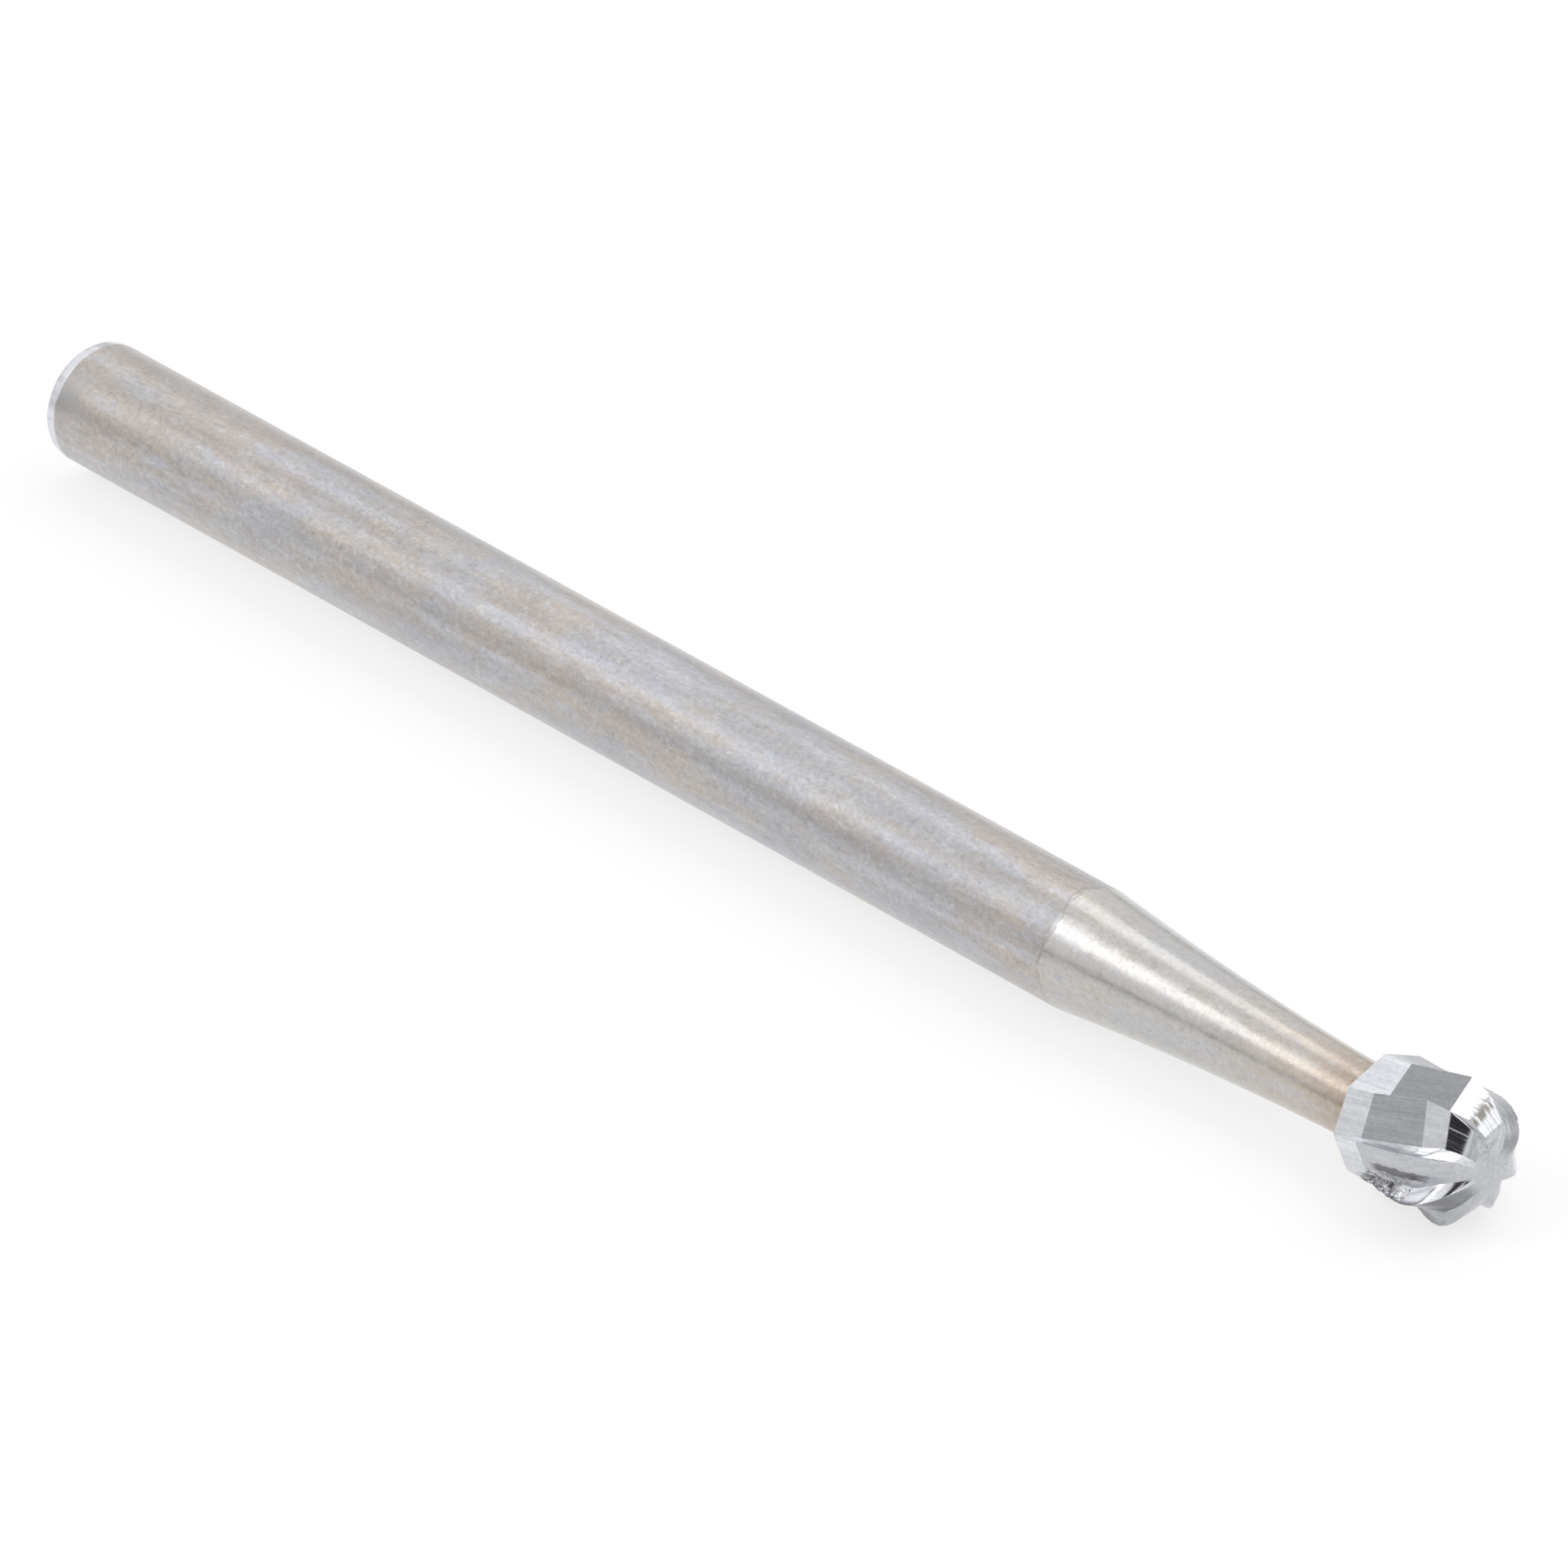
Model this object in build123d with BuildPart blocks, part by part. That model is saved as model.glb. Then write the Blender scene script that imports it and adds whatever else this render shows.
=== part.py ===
"""Carbide burr: a plain steel shank ground down to a slim neck, with a fluted carbide head brazed on its end.

Millimetres, +Z up.  The burr lies along X with its tip toward +X, on two cutting edges of the head.  The origin
is on the floor under the middle of the burr.
"""
import os
from itertools import accumulate
from math import cos, radians, sin

from build123d import *

# ---- shank and neck ----
shank_d = 2.35             # 3/32 inch shank, the size that a small collet or handpiece grips
shank_len = 27.45          # rear end to where the ground neck starts
neck_len = 7.7             # ground neck, from there to the back of the head
neck_d = 1.40              # neck where it meets the head
neck_hollow = 0.082        # how far the neck dips inside a straight taper
lead_len = 0.26            # polished lead at the rear end
lead_depth = 0.03          # radius taken off by that lead
rear_round = 0.14          # rounding of the rear edge

# ---- head: spiral teeth, each ground as five flat facets from the back to the tip ----
tooth_count = 8
# length along the burr of each facet, at the cutting edge
heel_facet = 0.57
barrel_facet = 1.20
shoulder_facet = 0.45
crown_facet = 0.37
tip_facet = 0.26
# diameter over the cutting edges at the back of the head and at the four bends between the facets
back_d = 2.356
heel_d = 2.388
head_d = 2.778
shoulder_d = 2.458
crown_d = 1.716
# degrees that a cutting edge winds round the axis within each facet
heel_wind = 5.8
barrel_wind = 12.8
shoulder_wind = 4.4
crown_wind = 5.6
# degrees of flute between a land and the next cutting edge, at each bend
heel_flute = 2.2
head_flute = 10.4
shoulder_flute = 14.9
crown_flute = 14.4
# how much nearer the tip each bend lies at the flute than at the cutting edge
heel_skew = -0.03
head_skew = 0.22
shoulder_skew = 0.146
crown_skew = 0.051

# ---- what follows from them ----
shank_r = shank_d / 2
neck_r = neck_d / 2
pitch = 360 / tooth_count
edge_at = list(accumulate((0, heel_facet, barrel_facet, shoulder_facet, crown_facet)))
edge_r = [d / 2 for d in (back_d, heel_d, head_d, shoulder_d, crown_d)]
wound = list(accumulate((0, heel_wind, barrel_wind, shoulder_wind, crown_wind)))
edge_turn = [wound[2] - w for w in wound]      # measured from the widest bend
flute = (0, heel_flute, head_flute, shoulder_flute, crown_flute)
skew = (0, heel_skew, head_skew, shoulder_skew, crown_skew)
head_len = edge_at[-1] + tip_facet
burr_len = shank_len + neck_len + head_len
rear_x = -burr_len / 2
neck_x = rear_x + shank_len
head_x = neck_x + neck_len
axis_z = max(edge_r) * cos(radians(pitch / 2))  # the two lowest edges stand on the floor


def on_head(along, radius, turn):
    """Point of the head at a distance from its back, a radius and an angle from straight down."""
    return Vector(head_x + along, radius * sin(radians(turn)), axis_z - radius * cos(radians(turn)))


def land_radius(corner, edge_start, edge_end, along, turn):
    """Radius at which the land through three corners meets its flute, so that the facet is one flat."""
    normal = (edge_start - corner).cross(edge_end - corner)
    centre = on_head(along, 0, turn)
    outward = on_head(along, 1, turn) - centre
    return normal.dot(corner - centre) / normal.dot(outward)


def flat(*corners):
    """One flat face of the head."""
    return Face(Wire.make_polygon(corners, close=True))


# ---- steel shank with its neck, turned round the axis ----
with BuildPart() as shank:
    with BuildSketch(Plane.XZ):
        with BuildLine():
            Polyline(
                (neck_x, axis_z + shank_r),
                (rear_x + lead_len, axis_z + shank_r),
                (rear_x, axis_z + shank_r - lead_depth),
                (rear_x, axis_z),
                (head_x, axis_z),
                (head_x, axis_z + neck_r),
            )
            ThreePointArc(
                (head_x, axis_z + neck_r),
                ((neck_x + head_x) / 2, axis_z + (shank_r + neck_r) / 2 - neck_hollow),
                (neck_x, axis_z + shank_r),
            )
        make_face()
    revolve(axis=Axis((0, 0, axis_z), (1, 0, 0)))
    fillet(shank.edges().filter_by(GeomType.CIRCLE).group_by(Axis.X)[0], radius=rear_round)
shank.part.label = "shank"

# ---- corners of the teeth: along each cutting edge, and down in the flute behind each land ----
edges, flutes = [], []
for tooth in range(tooth_count):
    start = (tooth - 0.5) * pitch
    edge = [on_head(a, r, start + t) for a, r, t in zip(edge_at, edge_r, edge_turn)]
    # at the back of the head a land ends level with the next cutting edge, so the flute begins with no step
    root = [on_head(0, edge_r[0], start + pitch + edge_turn[0])]
    for bend in range(1, len(edge_at)):
        along = edge_at[bend] + skew[bend]
        turn = start + pitch + edge_turn[bend] - flute[bend]
        radius = land_radius(root[-1], edge[bend - 1], edge[bend], along, turn)
        root.append(on_head(along, radius, turn))
    edges.append(edge)
    flutes.append(root)
tip = on_head(head_len, 0, 0)

# ---- carbide head: a flat back, the lands, and the rake faces that rise out of the flutes ----
skin = [flat(*[edge[0] for edge in edges])]
for tooth in range(tooth_count):
    edge, root, rake = edges[tooth], flutes[tooth], edges[(tooth + 1) % tooth_count]
    for bend in range(1, len(edge_at)):
        skin.append(flat(edge[bend - 1], edge[bend], root[bend], root[bend - 1]))
        skin.append(flat(root[bend - 1], root[bend], rake[bend]))
        if bend > 1:
            skin.append(flat(root[bend - 1], rake[bend], rake[bend - 1]))
    skin.append(flat(edge[-1], tip, root[-1]))
    skin.append(flat(root[-1], tip, rake[-1]))

with BuildPart() as carbide_head:
    add(Solid(Shell(skin)))
carbide_head.part.label = "carbide_head"

os.makedirs("parts", exist_ok=True)
export_step(shank.part, "parts/shank.step")
export_step(carbide_head.part, "parts/carbide_head.step")
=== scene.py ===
"""Carbide burr: the dressed model of the turned steel shank and the spiral-toothed carbide head.

Laid out as an add-on: sizes and finishes are properties, each piece has its own operator, and a sidebar
panel lists them.  Sizes are in metres; the teeth are worked out in millimetres, as a drawing would give them.
"""

from itertools import accumulate
from math import asin, cos, pi, radians, sin, sqrt

import bmesh
import bpy
from bpy.props import FloatProperty, FloatVectorProperty, IntProperty, PointerProperty
from mathutils import Matrix, Vector, noise


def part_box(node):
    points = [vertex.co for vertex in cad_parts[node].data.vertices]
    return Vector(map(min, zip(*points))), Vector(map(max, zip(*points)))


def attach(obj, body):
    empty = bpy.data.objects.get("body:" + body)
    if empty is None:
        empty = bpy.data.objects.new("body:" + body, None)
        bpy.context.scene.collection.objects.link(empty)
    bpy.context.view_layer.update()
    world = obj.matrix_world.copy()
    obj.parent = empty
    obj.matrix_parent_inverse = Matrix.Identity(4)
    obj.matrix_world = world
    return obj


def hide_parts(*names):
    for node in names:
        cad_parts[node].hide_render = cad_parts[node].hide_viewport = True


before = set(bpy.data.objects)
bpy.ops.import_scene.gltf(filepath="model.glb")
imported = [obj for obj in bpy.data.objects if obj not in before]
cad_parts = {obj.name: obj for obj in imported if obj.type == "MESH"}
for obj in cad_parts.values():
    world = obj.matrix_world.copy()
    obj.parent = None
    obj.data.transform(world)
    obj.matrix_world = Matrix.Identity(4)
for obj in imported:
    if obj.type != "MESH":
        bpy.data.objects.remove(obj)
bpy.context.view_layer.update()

bl_info = {
    "name": "Carbide burr",
    "version": (1, 0, 0),
    "blender": (4, 5, 0),
    "location": "3D View > Sidebar > Burr",
    "description": "Builds a spiral-toothed carbide burr on a plain steel shank, with its studio",
    "category": "Add Mesh",
}

MM = 0.001
SHANK_LOW, SHANK_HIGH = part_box("shank")
HEAD_LOW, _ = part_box("carbide_head")
AXIS_HEIGHT = (SHANK_LOW[2] + SHANK_HIGH[2]) / 2


# --------------------------------------------------------------------
# sizes and finishes that a user may change
# --------------------------------------------------------------------
def length(name, description, default):
    """A length property in metres."""
    return FloatProperty(
        name=name, description=description, default=default, min=0.0, unit="LENGTH", precision=6
    )


def colour(name, description, default):
    """A colour property."""
    return FloatVectorProperty(
        name=name, description=description, default=default, size=3, min=0.0, max=1.0, subtype="COLOR"
    )


class BurrShankSettings(bpy.types.PropertyGroup):
    """Sizes and finishes of the steel shank."""

    diameter: length(
        "Shank diameter", "Diameter of the gripped part of the shank", SHANK_HIGH[1] - SHANK_LOW[1]
    )
    plain_length: length("Plain length", "Rear end to where the ground neck starts", 0.02745)
    neck_diameter: length("Neck diameter", "Diameter of the neck where it meets the head", 0.0014)
    neck_hollow: length("Neck hollow", "How far the neck dips inside a straight taper", 0.000082)
    lead_length: length("Lead length", "Length of the polished lead at the rear end", 0.00026)
    lead_depth: length("Lead depth", "Radius taken off by the lead", 0.00003)
    rear_round: length("Rear rounding", "Rounding of the rear edge", 0.00014)
    satin_warm: colour("Satin steel, warm", "Warm patches of the tumbled steel", (0.495, 0.447, 0.412))
    satin_cool: colour("Satin steel, cool", "Bluish patches of the tumbled steel", (0.447, 0.450, 0.482))
    lead_bright: colour("Polished lead", "Bright lead round the rear edge", (0.69, 0.70, 0.74))
    neck_bright: colour("Ground neck", "Freshly ground steel of the neck", (0.525, 0.505, 0.48))
    neck_tan: colour("Heat tint", "Tan heat tint of the neck beside the braze", (0.52, 0.437, 0.36))


class BurrHeadSettings(bpy.types.PropertyGroup):
    """Sizes and finishes of the carbide head."""

    teeth: IntProperty(name="Teeth", description="Number of spiral teeth", default=8, min=3, max=16)
    facet_lengths: FloatVectorProperty(
        name="Facet lengths", size=5, default=(0.00057, 0.00120, 0.00045, 0.00037, 0.00026), unit="LENGTH",
        precision=6, description="Length along the burr of the heel, barrel, shoulder, crown and tip facets",
    )
    bend_diameters: FloatVectorProperty(
        name="Bend diameters", size=5, default=(0.002356, 0.002388, 0.002778, 0.002458, 0.001716),
        unit="LENGTH", precision=6,
        description="Diameter over the cutting edges at the back and at each bend between facets",
    )
    winds: FloatVectorProperty(
        name="Winds", size=4, default=tuple(radians(a) for a in (5.8, 12.8, 4.4, 5.6)), subtype="EULER",
        description="How far the cutting edge winds round the axis in the heel, barrel, shoulder and "
                    "crown facets",
    )
    flutes: FloatVectorProperty(
        name="Flutes", size=4, default=tuple(radians(a) for a in (2.2, 10.4, 14.9, 14.4)), subtype="EULER",
        description="Width of the flute at each bend, as an angle round the axis",
    )
    flute_skews: FloatVectorProperty(
        name="Flute skews", size=4, default=(-0.00003, 0.00022, 0.000146, 0.000051), unit="LENGTH",
        precision=6,
        description="How much nearer the tip each bend lies at the flute than at the cutting edge",
    )
    edge_wear: length("Edge wear", "Width taken off every cutting edge by use", 0.000004)
    carbide: colour("Ground carbide", "Cool grey of the ground facets", (0.545, 0.555, 0.585))
    carbide_dark: colour("Rake carbide", "Darker carbide down in the flutes", (0.30, 0.295, 0.30))


# --------------------------------------------------------------------
# shader helpers
# --------------------------------------------------------------------
COAT_ROUGHNESS = 0.35                   # of the thin film on the shank
SMUDGE_SIDE = (0.0, -0.79, 0.61)        # which side of the shank the smudge near the rear end is on
PIT_DEPTH = 0.0000038                   # relief of the tumbled steel
RING_DEPTH = 0.0000006                  # relief of the turning marks on the neck
SCRATCH_DEPTH = 0.0000012               # relief of the grinding scratches on the carbide
CRYSTAL_DEPTH = 0.000009                # relief where the carbide has broken away


class Finish:
    """A node material under construction, with short calls for the nodes that the finishes share."""

    def __init__(self, name):
        self.material = bpy.data.materials.new(name)
        self.material.use_nodes = True
        self.tree = self.material.node_tree
        self.tree.nodes.clear()
        self.output = self.tree.nodes.new("ShaderNodeOutputMaterial")

    def node(self, kind, **settings):
        """A node with its plain settings."""
        made = self.tree.nodes.new("ShaderNode" + kind)
        for key, value in settings.items():
            setattr(made, key, value)
        return made

    def feed(self, socket, value):
        """Links a socket, or sets a plain number or colour on it."""
        if isinstance(value, bpy.types.NodeSocket):
            self.tree.links.new(value, socket)
        elif isinstance(value, (tuple, list)) and len(value) == 3 and socket.type == "RGBA":
            socket.default_value = (*value, 1.0)
        else:
            socket.default_value = value

    def sum(self, operation, a, b=0.0, clamp=False):
        """One arithmetic step."""
        made = self.node("Math", operation=operation, use_clamp=clamp)
        self.feed(made.inputs[0], a)
        self.feed(made.inputs[1], b)
        return made.outputs[0]

    def stretched(self, vector, scale, shift=(0.0, 0.0, 0.0)):
        """The vector scaled and shifted, for a texture that is longer one way."""
        made = self.node("Mapping")
        self.feed(made.inputs["Vector"], vector)
        made.inputs["Scale"].default_value = scale
        made.inputs["Location"].default_value = shift
        return made.outputs[0]

    def grain(self, vector, scale, shift=(0.0, 0.0, 0.0), detail=2.0, rough=0.5):
        """Noise from 0 to 1 at a scale given per unit of the vector."""
        made = self.node("TexNoise")
        self.feed(made.inputs["Vector"], self.stretched(vector, scale, shift))
        made.inputs["Scale"].default_value = 1.0
        made.inputs["Detail"].default_value = detail
        made.inputs["Roughness"].default_value = rough
        return made.outputs["Fac"]

    def ramp(self, value, low, high, to_low=0.0, to_high=1.0, smooth=True):
        """value mapped from low..high to to_low..to_high."""
        made = self.node("MapRange", interpolation_type="SMOOTHSTEP" if smooth else "LINEAR")
        self.feed(made.inputs["Value"], value)
        made.inputs["From Min"].default_value = low
        made.inputs["From Max"].default_value = high
        made.inputs["To Min"].default_value = to_low
        made.inputs["To Max"].default_value = to_high
        return made.outputs[0]

    def blend(self, amount, first, second):
        """Colour between two colours."""
        made = self.node("Mix", data_type="RGBA")
        self.feed(made.inputs["Factor"], amount)
        self.feed(made.inputs["A"] if made.inputs["A"].type == "RGBA" else made.inputs[6], first)
        self.feed(made.inputs["B"] if made.inputs["B"].type == "RGBA" else made.inputs[7], second)
        return made.outputs[2]

    def level(self, amount, first, second):
        """Number between two numbers."""
        made = self.node("Mix", data_type="FLOAT")
        self.feed(made.inputs[0], amount)
        self.feed(made.inputs[2], first)
        self.feed(made.inputs[3], second)
        return made.outputs[0]

    def dim(self, tint, value):
        """A colour multiplied by a number."""
        made = self.node("VectorMath", operation="SCALE")
        self.feed(made.inputs[0], tint)
        self.feed(made.inputs["Scale"], value)
        return made.outputs[0]

    def bump(self, height, depth, under=None):
        """Normal of a relief of that depth in metres."""
        made = self.node("Bump")
        made.inputs["Strength"].default_value = 1.0
        made.inputs["Distance"].default_value = depth
        self.feed(made.inputs["Height"], height)
        if under is not None:
            self.feed(made.inputs["Normal"], under)
        return made.outputs[0]

    def metal(self, tint, roughness, normal, film=0.0):
        """Finishes the material as bare metal, with a thin film of oil where asked."""
        made = self.node("BsdfPrincipled")
        made.inputs["Metallic"].default_value = 1.0
        self.feed(made.inputs["Base Color"], tint)
        self.feed(made.inputs["Roughness"], roughness)
        self.feed(made.inputs["Normal"], normal)
        made.inputs["Coat Weight"].default_value = film
        made.inputs["Coat Roughness"].default_value = COAT_ROUGHNESS
        self.tree.links.new(made.outputs[0], self.output.inputs["Surface"])
        return self.material


def shank_steel(look, rear_x, neck_x, head_x):
    """Tumbled satin steel with a polished rear lead and a ground, tinted neck; positions in millimetres."""
    f = Finish("satin_and_ground_steel")
    place = f.node("TexCoord").outputs["Object"]
    mm = f.stretched(place, (1000.0, 1000.0, 1000.0))
    along = f.node("SeparateXYZ")
    f.feed(along.inputs[0], mm)
    along = along.outputs[0]
    # where the ground neck and the polished lead start, wandering slightly round the shank
    wander = f.sum("MULTIPLY", f.sum("SUBTRACT", f.grain(mm, (0.3, 1.1, 1.1), detail=3), 0.5), 0.55)
    wandered = f.sum("ADD", along, wander)
    on_neck = f.ramp(wandered, neck_x - 0.015, neck_x + 0.025)
    on_lead = f.ramp(f.sum("ADD", along, f.sum("MULTIPLY", wander, 0.3)), rear_x + 0.33, rear_x + 0.28)
    # satin: faint warm and cool clouds drawn out along the shank, under wisps, flecks and a fine speckle
    clouds = f.grain(mm, (0.30, 0.95, 0.95), (3.0, 1.0, 0.0), detail=5, rough=0.62)
    drift = f.sum("ADD", clouds, f.ramp(along, rear_x + 1.0, rear_x + 12.0, -0.045, 0.03))
    satin = f.blend(f.ramp(drift, 0.40, 0.60), look.satin_warm[:], look.satin_cool[:])
    blotches = f.grain(mm, (0.8, 2.0, 2.0), (9.0, 4.0, 2.0), detail=5, rough=0.68)
    wisps = f.grain(mm, (1.4, 5.5, 5.5), (2.0, 6.0, 1.0), detail=5, rough=0.66)
    flecks = f.grain(mm, (6.0, 8.0, 8.0), (7.0, 3.0, 5.0), detail=4, rough=0.65)

    def weathered(base, strength):
        """The base colour with pale and dull patches of three sizes."""
        base = f.blend(f.ramp(blotches, 0.55, 0.64, 0.0, 0.55 * strength), base, (0.51, 0.51, 0.51))
        base = f.blend(f.ramp(blotches, 0.43, 0.35, 0.0, 0.50 * strength), base, (0.40, 0.382, 0.388))
        base = f.blend(f.ramp(wisps, 0.56, 0.60, 0.0, 0.50 * strength), base, (0.53, 0.54, 0.575))
        base = f.blend(f.ramp(wisps, 0.44, 0.40, 0.0, 0.55 * strength), base, (0.425, 0.388, 0.352))
        base = f.blend(f.ramp(flecks, 0.58, 0.64, 0.0, 0.55 * strength), base, (0.60, 0.595, 0.575))
        return f.blend(f.ramp(flecks, 0.42, 0.35, 0.0, 0.50 * strength), base, (0.33, 0.32, 0.325))

    # long streaks, pinkish where dull and lavender where bright
    streaks = f.grain(mm, (0.13, 2.6, 2.6), (0.0, 5.0, 0.0), detail=5, rough=0.58)
    satin = f.blend(f.ramp(streaks, 0.53, 0.64, 0.0, 0.50), satin, (0.485, 0.492, 0.55))
    satin = f.blend(f.ramp(streaks, 0.47, 0.37, 0.0, 0.45), satin, (0.475, 0.425, 0.40))
    satin = weathered(satin, 0.90)
    speckle = f.grain(mm, (9.0, 13.0, 13.0), detail=3, rough=0.7)
    drawn, grainy = f.ramp(streaks, 0.32, 0.68, 0.895, 1.03), f.ramp(speckle, 0.25, 0.75, 0.88, 1.11)
    shade = f.sum("MULTIPLY", drawn, grainy)
    satin = f.dim(satin, shade)
    # a dull smudge on one side, just inside the lead
    side = f.node("VectorMath", operation="DOT_PRODUCT")
    f.feed(side.inputs[0], mm)
    side.inputs[1].default_value = SMUDGE_SIDE
    axis_side = AXIS_HEIGHT / MM * SMUDGE_SIDE[2]
    near_rear = f.ramp(along, rear_x + 1.5, rear_x + 0.45)
    on_side = f.ramp(side.outputs["Value"], axis_side + 0.93, axis_side + 1.13)
    smudge = f.sum("MULTIPLY", near_rear, on_side)
    smudge = f.sum("MULTIPLY", smudge, f.ramp(blotches, 0.36, 0.60, 1.0, 0.35))
    satin = f.blend(f.sum("MULTIPLY", smudge, 0.75), satin, (0.345, 0.345, 0.355))
    # neck: bright ground steel that turns tan toward the head, and is darkest beside it
    heat = f.sum("ADD", along, f.sum("MULTIPLY", f.sum("SUBTRACT", clouds, 0.5), 4.0))
    tint = f.blend(f.ramp(heat, neck_x + 3.2, head_x + 0.2), look.neck_bright[:], look.neck_tan[:])
    tint = f.blend(f.ramp(clouds, 0.45, 0.62, 0.0, 0.35), tint, look.satin_cool[:])
    tint = f.blend(f.ramp(clouds, 0.47, 0.36, 0.0, 0.45), tint, (0.54, 0.49, 0.44))
    tint = f.blend(f.ramp(streaks, 0.53, 0.64, 0.0, 0.40), tint, (0.50, 0.505, 0.55))
    tint = weathered(tint, 0.65)
    turning = f.grain(mm, (26.0, 0.9, 0.9), detail=3, rough=0.6)
    fine_turning = f.grain(mm, (70.0, 1.6, 1.6), (1.0, 7.0, 3.0), detail=2)
    ragged = f.sum("ADD", along, f.sum("MULTIPLY", f.sum("SUBTRACT", wisps, 0.5), 1.6))
    scorched = f.ramp(ragged, head_x - 1.7, head_x - 0.1)
    scorch = f.sum("MULTIPLY", scorched, f.ramp(flecks, 0.38, 0.60, 0.95, 0.45))
    tint = f.blend(scorch, tint, (0.41, 0.328, 0.255))
    turned_shade, grainy = f.ramp(turning, 0.3, 0.7, 0.94, 1.00), f.ramp(speckle, 0.25, 0.75, 0.92, 1.09)
    tint = f.dim(tint, f.sum("MULTIPLY", turned_shade, grainy))
    whole = f.blend(on_neck, satin, tint)
    # a thin, broken dark line where the neck starts
    past_start = f.ramp(wandered, neck_x - 0.07, neck_x - 0.02)
    before_end = f.ramp(wandered, neck_x + 0.03, neck_x - 0.01)
    step = f.sum("MULTIPLY", past_start, before_end)
    step = f.sum("MULTIPLY", step, f.ramp(blotches, 0.42, 0.55, 0.05, 0.40))
    whole = f.blend(step, whole, (0.24, 0.22, 0.20))
    lead = f.dim(look.lead_bright[:], f.ramp(blotches, 0.38, 0.52, 0.80, 1.05))
    whole = f.blend(on_lead, whole, lead)
    roughness = f.level(on_neck, f.ramp(clouds, 0.3, 0.7, 0.33, 0.42), f.ramp(wisps, 0.35, 0.65, 0.20, 0.29))
    roughness = f.level(on_lead, roughness, 0.34)
    pits = f.sum("ADD", speckle, f.sum("MULTIPLY", streaks, 0.8))
    pits = f.sum("MULTIPLY", pits, f.sum("SUBTRACT", 1.0, on_neck))
    pits = f.sum("ADD", pits, f.sum("MULTIPLY", f.sum("MULTIPLY", flecks, 0.5), on_neck))
    rings = f.sum("MULTIPLY", f.sum("ADD", turning, f.sum("MULTIPLY", fine_turning, 0.5)), on_neck)
    normal = f.bump(pits, PIT_DEPTH)
    normal = f.bump(rings, RING_DEPTH, normal)
    return f.metal(whole, roughness, normal, film=0.8)


def head_carbide(look):
    """Carbide ground along every facet under painted light, dull with residue and painted shade in the
    flutes, crystalline where an edge broke.
    """
    f = Finish("ground_carbide")
    ground = f.node("Attribute", attribute_name="grind").outputs["Vector"]
    chip = f.node("Attribute", attribute_name="chip").outputs["Fac"]
    # painted light and shade of each face, standing in for reflections
    painted_light = f.node("Attribute", attribute_name="painted_light").outputs["Fac"]
    rake = f.node("Attribute", attribute_name="rake").outputs["Fac"]
    marks = f.node("SeparateXYZ")
    f.feed(marks.inputs[0], f.node("Attribute", attribute_name="marks").outputs["Vector"])
    # the first mark is dark residue and painted shade in the flutes
    grime_and_shade, scored, lapped = marks.outputs
    mm = f.stretched(f.node("TexCoord").outputs["Object"], (1000.0, 1000.0, 1000.0))
    # scratches run along the cutting edge, so the noise is long that way and narrow across
    scratches = f.grain(ground, (0.40, 24.0, 1.0), detail=3, rough=0.65)
    fine = f.grain(ground, (1.2, 70.0, 1.0), (4.0, 0.0, 0.0), detail=2)
    bands = f.grain(ground, (0.25, 6.0, 1.0), (0.0, 2.0, 0.0), detail=2)
    shade = f.sum("MULTIPLY", f.ramp(scratches, 0.28, 0.72, 0.92, 1.07), f.ramp(bands, 0.3, 0.7, 0.95, 1.04))
    shade = f.level(lapped, shade, 1.0)
    mottle = f.grain(mm, (10.0, 10.0, 10.0), (5.0, 2.0, 8.0), detail=4, rough=0.65)
    shade = f.sum("MULTIPLY", shade, f.ramp(mottle, 0.3, 0.7, 0.93, 1.07))
    # the carbide's grey times its scratches, its mottle and each facet's painted light and shade
    tint = f.dim(look.carbide[:], f.sum("MULTIPLY", shade, painted_light))
    # deep score marks: broad at their start, thin further on
    broad = f.grain(ground, (1.6, 11.0, 1.0), (3.0, 1.0, 0.0), detail=2)
    lines = f.sum("MAXIMUM", f.ramp(scratches, 0.47, 0.41),
                  f.sum("MULTIPLY", f.ramp(broad, 0.60, 0.48), f.ramp(scored, 0.55, 0.95)))
    tint = f.blend(f.sum("MULTIPLY", lines, scored, clamp=True), tint, (0.185, 0.178, 0.160))
    tint = f.blend(f.sum("MULTIPLY", rake, f.ramp(bands, 0.35, 0.75, 0.0, 0.25)), tint, look.carbide_dark[:])
    crystal = f.grain(mm, (11.0, 11.0, 11.0), detail=2, rough=0.5)
    broken = f.blend(f.ramp(crystal, 0.40, 0.60), (0.23, 0.225, 0.23), (0.66, 0.66, 0.68))
    tint = f.blend(chip, tint, broken)
    # dark residue and painted shade, nearly black
    dirt_and_shade = f.sum("MULTIPLY", grime_and_shade, f.ramp(scratches, 0.30, 0.60, 1.0, 0.80), clamp=True)
    tint = f.blend(dirt_and_shade, tint, (0.045, 0.043, 0.045))
    # a lightly scored facet only scatters what it reflects
    haze = f.sum("MULTIPLY", f.ramp(scratches, 0.56, 0.66), f.sum("MULTIPLY", scored, -1.0), clamp=True)
    roughness = f.ramp(scratches, 0.3, 0.7, 0.15, 0.24)
    roughness = f.level(rake, roughness, 0.20)
    roughness = f.level(haze, roughness, 0.62)
    roughness = f.level(chip, roughness, 0.55)
    relief = f.sum("ADD", scratches, f.sum("MULTIPLY", fine, 0.35))
    relief = f.sum("MULTIPLY", relief, f.level(lapped, 1.0, 0.15))
    normal = f.bump(relief, SCRATCH_DEPTH)
    normal = f.bump(f.sum("MULTIPLY", crystal, chip), CRYSTAL_DEPTH, normal)
    return f.metal(tint, roughness, normal)


# --------------------------------------------------------------------
# steel shank
# --------------------------------------------------------------------
AROUND = 160               # facets round the shank
ROUND_STEPS = 12           # steps over the rounding of the rear edge
PLAIN_CELLS = 40           # rings along the plain shank
NECK_CELLS = 72            # rings along the neck
REAR_CENTRE = 0.4          # inner ring of the rear face, as a share of the radius


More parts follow.
